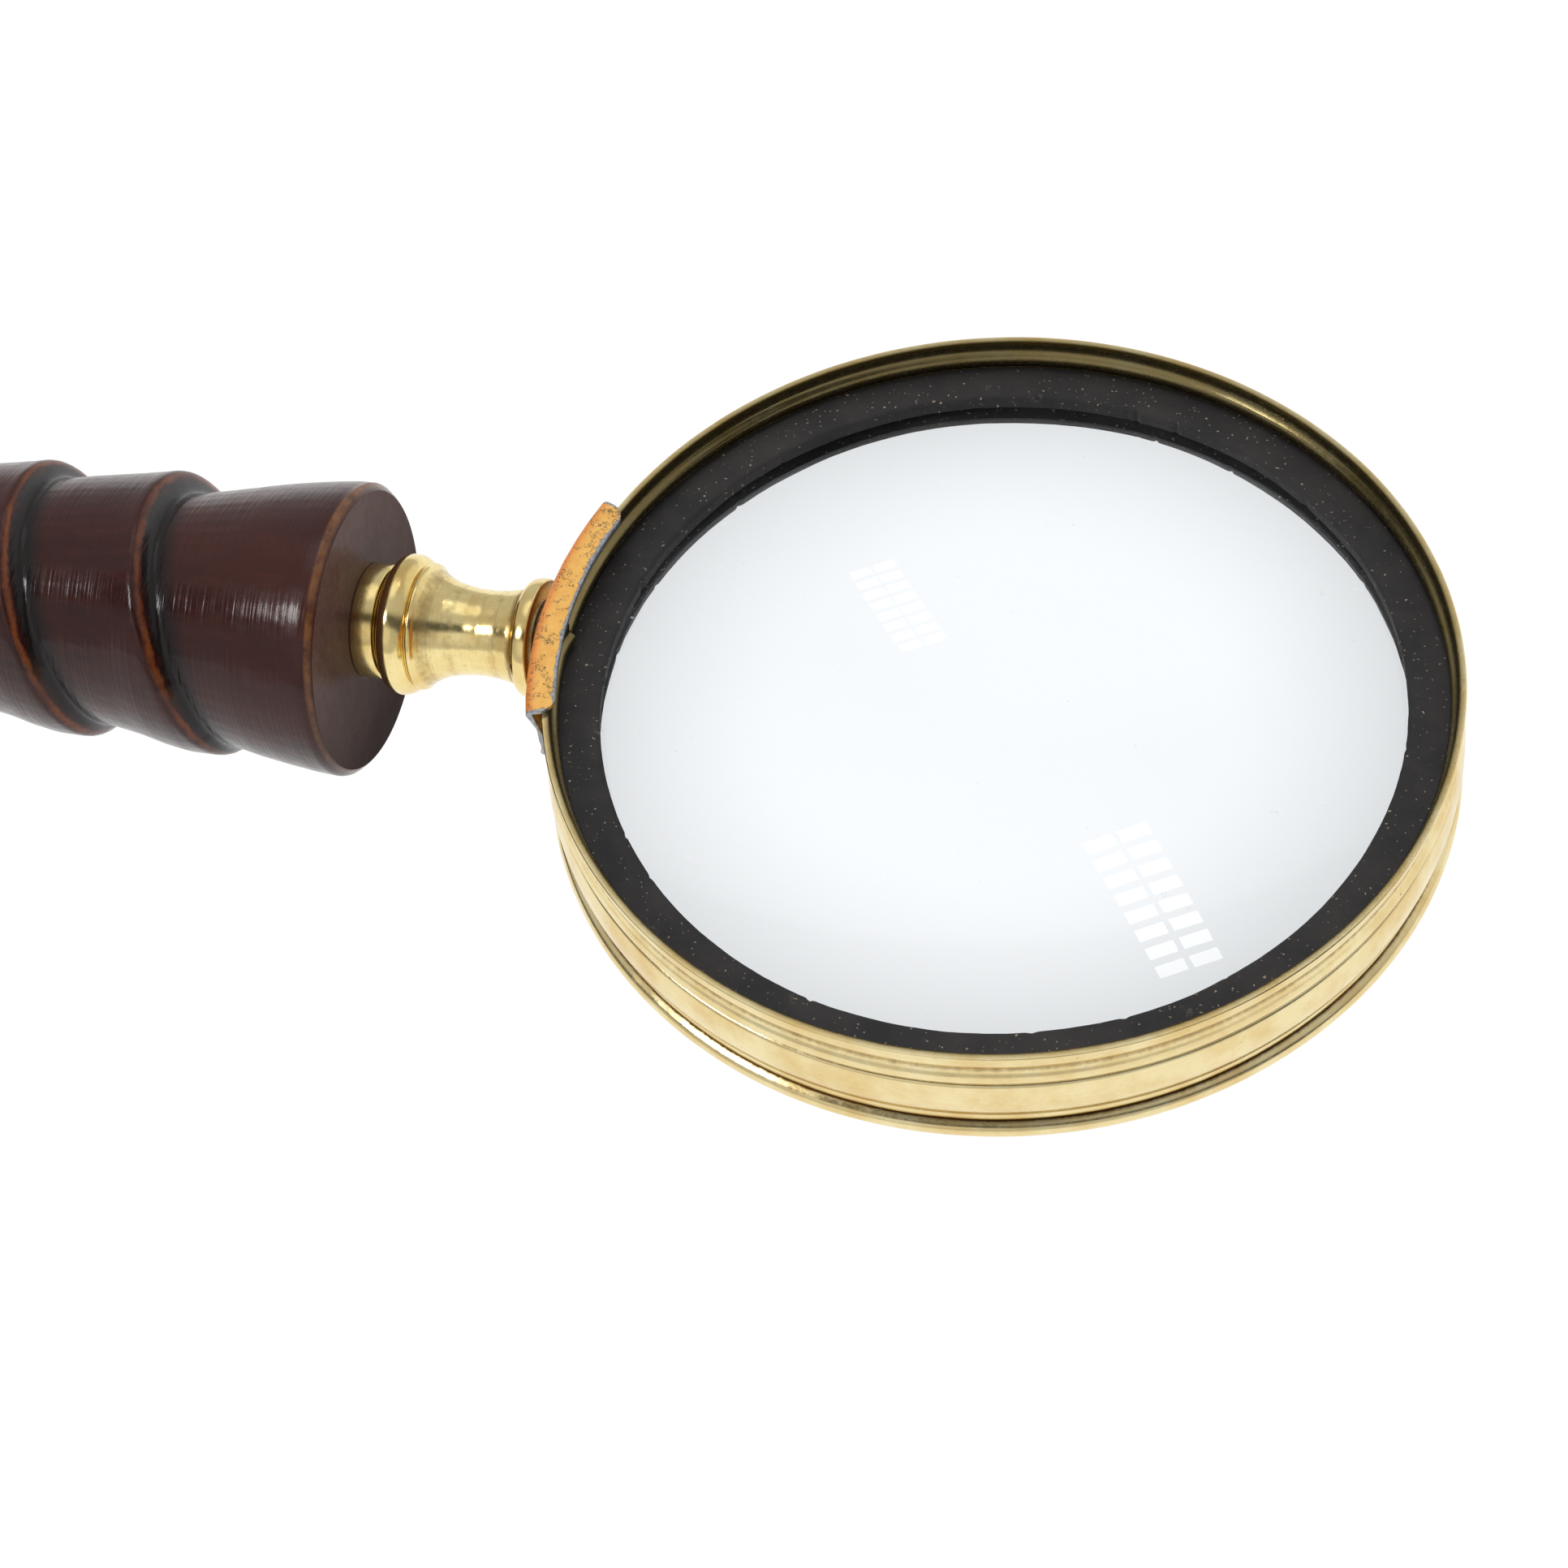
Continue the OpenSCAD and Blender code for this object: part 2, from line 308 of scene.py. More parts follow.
def brass(name, bright, warm, dirt, tarnish, marks, rough, shallow):
    """Polished brass: warm patches, brown tarnish in the hollows, dark pits and fine turning marks.
    Tarnish starts where a hollow is shallow millimetres deep, and an inner mark paints a surface darker
    olive as a painted dark reflection."""
    p = Paint(name)
    place = p.attribute("turned", "Vector")
    hollow = p.attribute("hollow")
    patches = p.noise(place, 0.16, 4, 0.6)
    fine = p.noise(place, 1.3, 5, 0.65)
    lines = p.noise(p.stretch(place, 0.08, 0.08, 7.0), 1.0, 4, 0.75)
    colour = p.mix(p.span(patches, 0.38, 0.68), bright, warm)
    colour = p.mix(p.math("MULTIPLY", p.span(lines, 0.46, 0.72), 0.42 * marks), colour, warm)
    deep = p.jitter(hollow, fine, 0.16)
    in_hollow = p.math("MULTIPLY", p.span(deep, shallow, shallow + 0.18), 0.9 * tarnish, True)
    spots = p.math("MULTIPLY", p.span(p.noise(place, 0.9, 6, 0.75), 0.64, 0.76), 0.5 * tarnish)
    pits = p.span(p.noise(p.stretch(place, 1.0, 1.0, 3.0), 1.5, 2, 0.6), 0.745, 0.765)
    stain = p.math("MAXIMUM", in_hollow, spots)
    colour = p.mix(stain, colour, dirt)
    near_black = linear(38, 26, 14)
    painted_dark_reflection = linear(82, 71, 34)
    colour = p.mix(p.math("MULTIPLY", pits, 0.8), colour, near_black)
    # Painted dark reflection: where the inner mark is set, the colour goes darker olive, as the inner wall
    # would mirror the black gasket.
    colour = p.mix(p.math("MULTIPLY", p.attribute("inner"), 0.8), colour, painted_dark_reflection)
    base = p.span(fine, 0.3, 0.75, rough * 0.7, rough * 1.5)
    base = p.math("ADD", base, p.span(lines, 0.5, 0.75, 0.0, 0.06))
    roughness = p.math("ADD", base, p.math("MULTIPLY", stain, 0.25), True)
    p.set(Base_Color=colour, Metallic=1.0, Roughness=roughness)
    scratch = p.noise(p.stretch(place, 0.3, 0.3, 9.0), 1.0, 3, 0.6)
    normal = p.bump(scratch, 0.16 * marks, 0.00003)
    normal = p.bump(pits, 0.3, 0.00005, normal)
    normal = p.bump(p.noise(place, 0.35, 2, 0.5), 0.12, 0.00025, normal)
    p.set(Normal=normal)
    return p.material


def steel():
    """Plain satin steel with drawn marks."""
    p = Paint("steel")
    place = p.attribute("turned", "Vector")
    fine = p.noise(place, 2.0, 5, 0.7)
    colour = p.mix(p.span(fine, 0.3, 0.7), linear(150, 152, 156), linear(196, 197, 200))
    p.set(Base_Color=colour, Metallic=1.0, Roughness=p.span(fine, 0.3, 0.7, 0.24, 0.42))
    p.set(Normal=p.bump(p.noise(p.stretch(place, 1, 1, 8), 1.5, 3), 0.15, 0.00003))
    return p.material


def lacquered_sheet():
    """Gold lacquer on sheet steel: chipped to bare metal along the free edges, scratched and stained."""
    p = Paint("lacquered_sheet")
    place = p.attribute("turned", "Vector")
    edge = p.attribute("edge")
    bend = p.attribute("bend")
    ragged = p.noise(place, 1.7, 6, 0.75)
    coarse = p.noise(place, 0.45, 2, 0.5)
    patches = p.noise(place, 0.5, 4, 0.6)
    colour = p.mix(p.span(patches, 0.35, 0.7), linear(224, 172, 84), linear(212, 156, 66))
    colour = p.mix(p.math("MULTIPLY", p.math("POWER", bend, 2.0), 0.7), colour, linear(206, 104, 38))
    # Short dark scratches through the lacquer.
    wander = p.noise(place, 1.3, 2, 0.5, 1.5)
    thin = p.contour(wander, 0.5, 0.05)
    here = p.span(p.noise(place, 0.9, 1, 0.5), 0.50, 0.56)
    scratch = p.math("MULTIPLY", thin, here)
    specks = p.span(p.noise(p.stretch(place, 2.4, 0.9, 1.0), 1.0, 3, 0.7), 0.685, 0.71)
    dark = p.math("MAXIMUM", scratch, p.math("MULTIPLY", specks, 0.75), True)
    colour = p.mix(dark, colour, linear(66, 50, 38))
    # Thin pale lines along a noise contour, painted in as glints: painted highlight.
    glint = p.contour(p.noise(place, 0.9, 2, 0.5, 2.0), 0.45, 0.008)
    colour = p.mix(p.math("MULTIPLY", glint, 0.4), colour, linear(236, 200, 130))
    # Chips: bare steel where the distance to a free edge is below a ragged limit.
    limit = p.math("ADD", p.span(ragged, 0.3, 0.75, 0.10, 0.42), p.span(coarse, 0.5, 0.75, 0.0, 0.35))
    bare = p.span(p.math("SUBTRACT", limit, edge), -0.02, 0.02)
    metal = p.mix(p.span(ragged, 0.4, 0.6), linear(122, 125, 130), linear(172, 175, 180))
    rim_of_chip = p.math("MULTIPLY", p.span(p.math("SUBTRACT", limit, edge), -0.08, -0.02), 0.5)
    colour = p.mix(rim_of_chip, colour, linear(96, 84, 74))
    p.set(Base_Color=p.mix(bare, colour, metal))
    p.set(Metallic=p.span(bare, 0.0, 1.0, 0.15, 0.7))
    p.set(Roughness=p.span(bare, 0.0, 1.0, 0.46, 0.36))
    p.set(Coat_Weight=p.span(bare, 0.0, 1.0, 0.12, 0.0), Coat_Roughness=0.2)
    height = p.math("SUBTRACT", p.math("MULTIPLY", p.noise(place, 3.5, 4, 0.6), 0.3), bare)
    height = p.math("SUBTRACT", height, p.math("MULTIPLY", dark, 0.5))
    p.set(Normal=p.bump(height, 0.35, 0.00008))
    return p.material


def rubber():
    """Matt black die-cut rubber with dust, brownish smudges and a few pale specks."""
    p = Paint("gasket_rubber")
    place = p.attribute("turned", "Vector")
    cloud = p.noise(place, 0.12, 4, 0.6)
    fine = p.noise(place, 2.4, 6, 0.75)
    colour = p.mix(p.span(cloud, 0.35, 0.7), linear(34, 33, 34), linear(48, 45, 44))
    colour = p.mix(p.math("MULTIPLY", p.span(fine, 0.5, 0.75), 0.25), colour, linear(54, 52, 51))
    dust = p.span(p.noise(place, 2.3, 1, 0.4), 0.72, 0.74)
    colour = p.mix(p.math("MULTIPLY", dust, 0.75), colour, linear(150, 138, 118))
    smudge = p.math("MULTIPLY", p.span(p.noise(place, 0.32, 5, 0.75), 0.64, 0.72), 0.35)
    colour = p.mix(smudge, colour, linear(104, 96, 84))
    p.set(Base_Color=colour, Roughness=p.span(fine, 0.3, 0.7, 0.5, 0.7))
    p.set(Specular_IOR_Level=0.26)
    normal = p.bump(fine, 0.22, 0.00008)
    p.set(Normal=p.bump(p.noise(place, 0.5, 3, 0.5), 0.2, 0.0003, normal))
    return p.material


def lens_glass():
    """Clear ground glass that lets light through to what lies under it, with faint haze and dust."""
    p = Paint("lens_glass")
    place = p.attribute("turned", "Vector")
    # A little less light comes through towards the edge, under the shade of the rim.
    flat = p.add("VectorMath", {0: place, 1: (1.0, 1.0, 0.0)}, operation="MULTIPLY").outputs[0]
    out = p.add("VectorMath", {0: flat}, operation="LENGTH").outputs["Value"]
    shade = p.span(out, 24.0, 47.0)
    tint = p.mix(p.math("POWER", shade, 1.6), (0.94, 0.965, 0.985), (0.70, 0.72, 0.735))
    p.set(Base_Color=tint, Roughness=0.0, IOR=1.5, Transmission_Weight=1.0)
    ways = p.add("LightPath").outputs
    clear = p.add("BsdfTransparent", {"Color": (0.97, 0.98, 0.985)})
    passing = p.math("MAXIMUM", ways["Is Shadow Ray"], ways["Is Diffuse Ray"])
    see = p.add("MixShader", {0: passing, 1: p.shader.outputs[0], 2: clear.outputs[0]})
    haze = p.add("BsdfDiffuse", {"Color": (0.80, 0.82, 0.85)})
    smear = p.span(p.noise(p.stretch(place, 0.02, 0.05, 0.02), 1.0, 4, 0.6), 0.45, 0.8, 0.0, 0.04)
    dust = p.span(p.noise(place, 0.9, 1, 0.3), 0.80, 0.815, 0.0, 0.5)
    dull = p.math("MAXIMUM", smear, dust)
    whole = p.add("MixShader", {0: dull, 1: see.outputs[0], 2: haze.outputs[0]})
    p.tree.links.new(whole.outputs[0], p.output.inputs["Surface"])
    return p.material


def grip_lacquer():
    """Dark red-brown lacquered wood: coves darkened by dirt and painted shade, worn orange lips and fine
    turning marks.
    """
    p = Paint("grip_lacquer")
    place = p.attribute("turned", "Vector")
    hollow = p.attribute("hollow")
    face = p.attribute("edge")
    lip = p.attribute("lip")
    front = p.attribute("front")
    cloud = p.noise(p.stretch(place, 0.06, 0.06, 0.03), 1.0, 4, 0.6)
    grain = p.noise(p.stretch(place, 0.9, 0.9, 0.05), 1.0, 5, 0.65)
    ragged = p.noise(place, 0.45, 5, 0.7)
    height = p.add("SeparateXYZ", {"Vector": place}).outputs["X"]
    colour = p.mix(p.span(cloud, 0.35, 0.68), linear(39, 13, 10), linear(56, 19, 13))
    colour = p.mix(p.math("MULTIPLY", p.span(grain, 0.45, 0.75), 0.35), colour, linear(72, 27, 16))
    # The coves ahead of each lip are painted near black, partly dirt and partly painted shade and dark
    # reflection; deep hollows get painted shade.
    ahead = p.jitter(p.math("MULTIPLY", lip, -1.0), ragged, 1.6)
    cove = p.math("MULTIPLY", p.span(ahead, -0.15, 0.25), p.span(ahead, 1.8, 4.2, 1.0, 0.0))
    cove_dirt_and_shade = p.math("MULTIPLY", cove, 0.95)
    shaded = p.math("MULTIPLY", p.span(hollow, 0.2, 1.0), 0.6)
    colour = p.mix(p.math("MAXIMUM", cove_dirt_and_shade, shaded), colour, linear(14, 9, 10))
    # The lips are rubbed through to a thin warm line.
    edge_line = p.jitter(lip, ragged, 0.9)
    line = p.math("MULTIPLY", p.span(edge_line, 0.1, 0.3), p.span(edge_line, 0.4, 0.8, 1.0, 0.0))
    where = p.span(p.noise(place, 0.11, 3, 0.6), 0.38, 0.62, 0.1, 0.7)
    colour = p.mix(p.math("MULTIPLY", line, where), colour, linear(136, 72, 34))
    # The face is duller, painted lighter towards its upper half as a painted sheen; its chamfer is rubbed.
    painted_sheen = p.mix(p.span(height, -14.0, 14.0), linear(38, 24, 22), linear(100, 75, 70))
    colour = p.mix(front, colour, p.mix(p.span(grain, 0.4, 0.8, 0.0, 0.5), painted_sheen, linear(58, 32, 26)))
    worn = p.math("MULTIPLY", face, p.span(ragged, 0.34, 0.6, 0.15, 0.65))
    worn = p.math("MULTIPLY", worn, p.span(height, -16.0, 10.0, 0.45, 1.0))
    colour = p.mix(worn, colour, linear(138, 92, 56))
    p.set(Base_Color=colour, Roughness=p.span(p.noise(place, 0.6, 4, 0.6), 0.3, 0.7, 0.2, 0.32))
    side_sheen = p.math("MULTIPLY", p.math("SUBTRACT", 1.0, front), 0.22)
    face_sheen = p.math("MULTIPLY", front, p.span(height, -12.0, 14.0, 0.012, 0.05))
    p.set(Specular_IOR_Level=p.math("ADD", side_sheen, face_sheen), Coat_Roughness=0.09)
    p.set(Coat_Weight=p.span(front, 0.0, 1.0, 0.24, 0.0))
    chatter = p.noise(p.stretch(place, 0.06, 0.06, 2.4), 1.0, 2, 0.5)
    normal = p.bump(chatter, 0.5, 0.00012)
    normal = p.bump(p.noise(place, 0.22, 3, 0.5), 0.18, 0.0004, normal)
    p.set(Normal=normal, Coat_Normal=normal)
    return p.material


BRASS_TURNED = brass(
    "brass_turned", bright=linear(246, 228, 166), warm=linear(226, 194, 122), dirt=linear(104, 66, 26),
    tarnish=0.9, marks=1.0, rough=0.15, shallow=0.02,
)
BRASS_RIM = brass(
    "brass_rim", bright=linear(240, 224, 174), warm=linear(224, 196, 134), dirt=linear(74, 46, 14),
    tarnish=1.1, marks=0.8, rough=0.2, shallow=0.13,
)
STEEL = steel()
RUBBER = rubber()
GLASS = lens_glass()
GRIP = grip_lacquer()
LACQUERED = lacquered_sheet()

# ---- sizes that the CAD pieces have, in millimetres --------------------------

# The rim: its radius at the lip, its top, and the split between its two ends.
RIM_R = 52.0
RIM_TOP = (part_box("rim_band")[1] / MM).z
SPLIT_ANGLE = math.radians(183)
SPLIT_HALF = 0.3 / RIM_R
# Radius of the opening inside the gaskets.
GASKET_BORE = 45.65
# The clip: where it sits and how far it reaches, as angles, then radii, sheet and slant of its ends.
CLIP_MIDDLE = math.radians(181)
CLIP_HALF = math.radians(17.4)
CLIP_OUTER = 53.75
CLIP_SEAT = 52.2
CLIP_EDGE = 50.3
CLIP_SHEET = 0.7
CLIP_SLANT = math.radians(15)
CLIP_CORNER = 2.0
# Shanks of the two screws, and the clearance of whatever turns on them.
STUD = 2.5
ROD = 3.0
CLEARANCE = 0.06
# Bores and spigots of the neck, ferrule and grip.
WASHER_R = 4.6
BUTT_WASHER_R = 8.0
SPIGOT_R = 3.98
SOCKET_R = 4.02
SLEEVE_BORE = 5.53
SLEEVE_DEPTH = 11.3
ROD_BORE = 3.22
POCKET_R = 8.2
POCKET_DEPTH = 1.19
# The grip's askew lips: the side they lean towards, and how far they run on along the grip there.
LEAN_SIDE = math.radians(29)
LIP_LEAN = 15.9 * math.tan(math.radians(16))

# ---- head: rim, lens, gaskets, clip, stud ------------------------------------


def rim_outline():
    """The rolled section of the rim as one closed path of (height, radius)."""
    top, r = RIM_TOP, RIM_R
    outer = [
        (top, r - 0.1), (top - 0.12, r), (top - 0.34, r), (top - 0.45, r - 0.38), (top - 1.0, r - 0.27),
        (top - 1.7, r - 0.30), (top - 2.3, r - 0.55), (top - 2.75, r - 0.70), (top - 3.3, r - 0.52),
        (top - 3.9, r - 0.18), (top - 4.4, r - 0.10), (top - 4.85, r - 0.22), (top - 5.1, r - 0.45),
        (top - 5.25, r - 0.85), (top - 5.4, r - 0.45), (top - 5.7, r - 0.20), (top - 6.6, r - 0.02),
        (top - 8.0, r + 0.10), (top - 9.3, r + 0.02), (top - 10.3, r - 0.22), (top - 10.9, r - 0.55),
        (top - 11.5, r - 0.78), (top - 12.1, r - 0.80), (top - 12.6, r - 0.92), (top - 12.88, r - 1.2),
        (top - 13.15, r - 0.85), (top - 13.5, r - 0.32), (top - 13.9, r - 0.06), (top - 14.35, r),
        (top - 14.8, r - 0.16), (top - 15.1, r - 0.5), (top - 15.2, r - 0.85),
    ]
    inner = [
        (top - 15.1, r - 1.2), (top - 14.7, r - 1.5), (top - 14.0, r - 1.55), (top - 13.5, r - 1.62),
        (top - 12.9, r - 1.8), (top - 12.2, r - 1.75), (top - 11.7, r - 1.4), (top - 11.4, r - 1.2),
        (top - 10.0, r - 1.18), (top - 6.0, r - 1.18), (top - 4.0, r - 1.2), (top - 3.6, r - 1.4),
        (top - 3.1, r - 1.68), (top - 2.6, r - 1.75), (top - 2.1, r - 1.6), (top - 1.7, r - 1.2),
        (top - 1.3, r - 0.95), (top - 0.15, r - 0.90), (top, r - 0.84),
    ]
    return spline(outer, 0.16), spline(inner, 0.3)


def rim_shape(angle, z, r):
    """Slight waviness of the hand-rolled sheet, and one end bent inwards at the split."""
    bent_length = 4
    bent_height = 9
    deepest = 1.0
    ring = Vector((math.cos(angle), math.sin(angle), 0))
    wave = noise.noise(ring * 2.2 + Vector((0, 0, z * 0.05))) * 0.05
    wave += noise.noise(ring * 9.0 + Vector((3, 0, z * 0.12))) * 0.018
    wave -= 0.045
    past = (angle - SPLIT_ANGLE) * RIM_R
    if 0 < past < bent_length:
        share = max(0.0, min(1.0, (z - RIM_TOP + bent_height) / bent_height))
        wave -= deepest * (1 - past / bent_length) ** 2 * share
    return z, r + wave


def make_rim():
    """The section swept from one end of the split round to the other, closed at both ends."""
    outer, inner = rim_outline()
    outline = outer + inner
    n = len(outline)
    hollow = hollow_of(outline, 1.3)
    # The inner wall gets the inner mark, which paints it darker as a painted dark reflection.
    inside = [0.0] * len(outer) + [1.0 if z > 2 else 0.3 for z, r in inner]
    around = 560
    start, end = SPLIT_ANGLE + SPLIT_HALF, SPLIT_ANGLE + TAU - SPLIT_HALF
    angles = [start + (end - start) * k / around for k in range(around + 1)]
    vertices, shade = [], []
    for angle in angles:
        true_angle = angle if angle < SPLIT_ANGLE + math.pi else angle - TAU
        for (z, r), depth in zip(outline, hollow):
            z, r = rim_shape(true_angle, z, r)
            vertices.append((r * math.cos(angle), r * math.sin(angle), z))
            shade.append(depth)
    faces = []
    for k in range(around):
        for i in range(n):
            j = (i + 1) % n
            faces.append((k * n + i, (k + 1) * n + i, (k + 1) * n + j, k * n + j))
    faces.append(tuple(range(n)))
    faces.append(tuple(reversed(range(around * n, around * n + n))))
    piece("rim_band_rolled", "head", "rim_band", BRASS_RIM, vertices, faces, HEAD, hollow=shade,
          inner=inside * (around + 1))


def lens_numbers():
    """Radius, edge thickness and sag of the lens, from its CAD box and vertices."""
    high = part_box("lens")[1]
    radius = high.x / MM
    heights = [v.co.z / MM for v in frame["nodes"]["lens"].data.vertices
               if math.hypot(v.co.x, v.co.y) / MM > radius - 0.2]
    half_edge = max(heights)
    return radius, half_edge, high.z / MM - half_edge


LENS_R, LENS_HALF_EDGE, LENS_SAG = lens_numbers()


def lens_face(r):
    """Height of the lens face at a distance from the axis."""
    curve = (LENS_R * LENS_R + LENS_SAG * LENS_SAG) / (2 * LENS_SAG)
    return LENS_HALF_EDGE + LENS_SAG - (curve - math.sqrt(curve * curve - r * r))


def make_lens():
    """Two curved faces, a straight edge and a small ground chamfer between them."""
    ground = 0.35
    edge_high = lens_face(LENS_R - ground)
    upper = [(lens_face(r), r) for r in np.linspace(0.1, LENS_R - ground, 56)]
    side = [(edge_high - 0.3, LENS_R), (0, LENS_R), (0.3 - edge_high, LENS_R)]
    lower = [(-z, r) for z, r in reversed(upper)]
    outline = upper + side + lower
    revolve("lens_ground_glass", "head", "lens", GLASS, outline, HEAD, 360, corner=25, capped=True)


def make_gasket(name, node, side, seed):
    """A flat ring dished to lie on the lens, with a ragged and nicked inner edge. side is 1 for the ring
    above the lens and -1 for the one below it."""
    low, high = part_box(node)
    outer = high.x / MM
    thick = max(abs(low.z), abs(high.z)) / MM
    inner = GASKET_BORE
    clear = 0.06
    section = [
        (LENS_HALF_EDGE + clear + 0.02, outer), (thick - 0.15, outer), (thick, outer - 0.15),
        (thick, outer - 2.0), (thick, inner + 1.6), (thick - 0.02, inner + 0.7),
        (thick - 0.08, inner + 0.25), (thick - 0.3, inner), (lens_face(inner) + 0.7, inner + 0.02),
        (lens_face(inner) + 0.08, inner + 0.05), (lens_face(inner + 1.5) + clear, inner + 1.5),
        (lens_face(outer - 2.0) + clear, outer - 2.0),
    ]
    outline = [(side * z, r) for z, r in section]
    if side < 0:
        outline.reverse()
    nick_source = random.Random(seed)
    nicks = [(nick_source.uniform(0, TAU), nick_source.uniform(0.08, 0.3), nick_source.uniform(0.004, 0.010))
             for _ in range(16)]

    def ragged(angle, z, r):
        near_edge = max(0.0, 1 - (r - inner) / 1.2)
        if near_edge <= 0:
            return z, r
        ring = Vector((math.cos(angle), math.sin(angle), seed * 0.37))
        change = noise.noise(ring * 3.0) * 0.14
        change += noise.noise(ring * 16.0) * 0.05
        change += noise.noise(ring * 60) * 0.02
        for centre, depth, width in nicks:
            away = abs((angle - centre + math.pi) % TAU - math.pi)
            if away < width * 2:
                change += depth * math.exp(-(away / width) ** 2)
        return z, r + change * near_edge

    revolve(name, "head", node, RUBBER, outline, HEAD, 900, ragged, corner=40)


def clip_section():
    """The clip's closed section as (height, radius): a bowed web between two hooked flanges."""
    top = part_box("saddle_clip")[1].z / MM
    under = top - CLIP_SHEET
    bend = CLIP_SHEET + 0.15
    outside = [(top - 0.10, CLIP_EDGE), (top, CLIP_EDGE + 0.10), (top, (CLIP_EDGE + CLIP_OUTER) / 2)]
    outside += [(z, r) for r, z in arc((CLIP_OUTER - bend, top - bend), bend, 90, 0, 15)]
    outside += [(3.4, CLIP_SEAT + CLIP_SHEET - 0.15)]
    inside = [(3.4, CLIP_SEAT - 0.15), (top - bend, CLIP_OUTER - CLIP_SHEET)]
    inside += [(under + 0.02, CLIP_OUTER - CLIP_SHEET - 0.13), (under, CLIP_OUTER - CLIP_SHEET - 0.25)]
    inside += [(under, (CLIP_EDGE + CLIP_OUTER) / 2), (under, CLIP_EDGE + 0.10), (under + 0.10, CLIP_EDGE)]
    down = [(-z, r) for z, r in reversed(outside)]
    back = [(-z, r) for z, r in reversed(inside)]
    return outside + [(0, CLIP_SEAT + CLIP_SHEET)] + down + back + [(0, CLIP_SEAT)] + inside


def make_clip():
    """The section swept round the rim; its ends are slanted and the upper flange has round corners."""
    section = clip_section()
    n = len(section)
    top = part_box("saddle_clip")[1].z / MM
    count = 150
    slant = math.tan(CLIP_SLANT)
    drawn_in = 2.2
    flange_reach = 2.6
    far_from_edge = 9.0
    vertices, edge_distance, bends = [], [], []
    for k in range(count + 1):
        t = k / count * 2 - 1
        # Slices lie closer together near the ends, where the corners are round.
        t = math.copysign(1 - (1 - abs(t)) ** 1.4, t)
        for z, r in section:
            low_share = max(0.0, min(1.0, (-z - 3) / 3))
            shift = (max(0.0, (top - z) * slant) + drawn_in * low_share) / RIM_R
            angle = CLIP_MIDDLE + t * (CLIP_HALF - shift)
            from_end = (1 - abs(t)) * (CLIP_HALF - shift) * RIM_R
            if z > 0 and from_end < CLIP_CORNER:
                # The flange's corner: points near its inner edge are drawn back towards the bend.
                cut = CLIP_CORNER - math.sqrt(max(0.0, CLIP_CORNER**2 - (CLIP_CORNER - from_end) ** 2))
                r += cut * max(0.0, 1 - (r - CLIP_EDGE) / flange_reach)
            free = r - CLIP_EDGE if abs(z) > 7 else far_from_edge
            skin = r + noise.noise(Vector((angle * 30, z * 0.3, 2))) * 0.03 - 0.02
            vertices.append((skin * math.cos(angle), skin * math.sin(angle), z))
            edge_distance.append(min(free, from_end))
            bends.append(max(0.0, min(1.0, (r - (CLIP_OUTER - 1.7)) / 1.2)))
    faces = []
    for k in range(count):
        for i in range(n):
            j = (i + 1) % n
            faces.append((k * n + i, (k + 1) * n + i, (k + 1) * n + j, k * n + j))
    faces.append(tuple(range(n)))
    faces.append(tuple(reversed(range(count * n, count * n + n))))
    piece("saddle_clip_sheet", "head", "saddle_clip", LACQUERED, vertices, faces, HEAD, 40,
          edge=edge_distance, bend=bends)


def threaded(name, body, node, crest, depth, pitch, thread, plain, head=None):
    """A rod on the handle's axis with a rolled right-hand thread, depth deep. thread is (start, end);
    plain and head are smooth stretches as (start, end, radius)."""
    around = 48
    thread_from, thread_to = thread
    core = crest - depth
    vertices, faces = [], []
    rows = []
    step = pitch / 8
    if head:
        start, end, wide = head
        rows += [(start + 0.05, wide - 0.1), (start + 0.15, wide), (end - 0.1, wide), (end, wide - 0.1)]
    rows += [(plain[0], plain[2]), (plain[1], plain[2])]
    count = round((thread_to - thread_from) / step)
    rows += [(thread_from + step * i, None) for i in range(count + 1)]
    rows += [(thread_to + 0.25, core - 0.3)]
    for z, radius in rows:
        for k in range(around):
            angle = TAU * k / around
            r = radius
            if radius is None:
                phase = (z / pitch - angle / TAU) % 1
                ridge = max(0.0, min(1.0, 1.6 - abs(phase - 0.5) * 4.2))
                fade = min(1.0, (z - thread_from) / pitch, (thread_to - z) / pitch + 0.1)
                r = core + (crest - core) * ridge * max(0.0, fade)
            vertices.append((r * math.cos(angle), r * math.sin(angle), z))
    for row in range(len(rows) - 1):
        for k in range(around):
            a, b = row * around + k, row * around + (k + 1) % around
            faces.append((a, b, b + around, a + around))
    faces.append(tuple(reversed(range(around))))
    faces.append(tuple(range((len(rows) - 1) * around, len(rows) * around)))
    piece(name, body, node, STEEL, vertices, faces, HANDLE, corner=30)


def make_stud():
    threaded("clip_stud_screw", "head", "clip_stud", crest=STUD, depth=0.4, pitch=0.8, thread=(0.6, 9.7),
             plain=(-2.6, 0.2, STUD), head=(-3.45, -2.95, STUD + 0.5))


def make_rod():
    ends = stations("tie_rod", HANDLE, 1)
    start, end = ends[0][0], ends[-1][0]
    threaded("tie_rod_screw", "handle", "tie_rod", crest=ROD, depth=0.5, pitch=1.0,
             thread=(end - 9, end - 0.3), plain=(start, end - 9.2, ROD))


# ---- handle ------------------------------------------------------------------


def make_washer(name, body, node, outer, bore):
    """A flat washer with small chamfers on its four edges."""
    found = stations(node, HANDLE, 1)
    low, high = found[0][0], found[-1][0]
    c = 0.12
    outline = [
        (low + c, outer), (high - c, outer), (high, outer - c), (high, bore + c),
        (high - c, bore), (low + c, bore), (low, bore + c), (low, outer - c),
    ]
    revolve(name, body, node, STEEL, smooth_outline(outline, 0.3, bevel=0.03), HANDLE, 96)


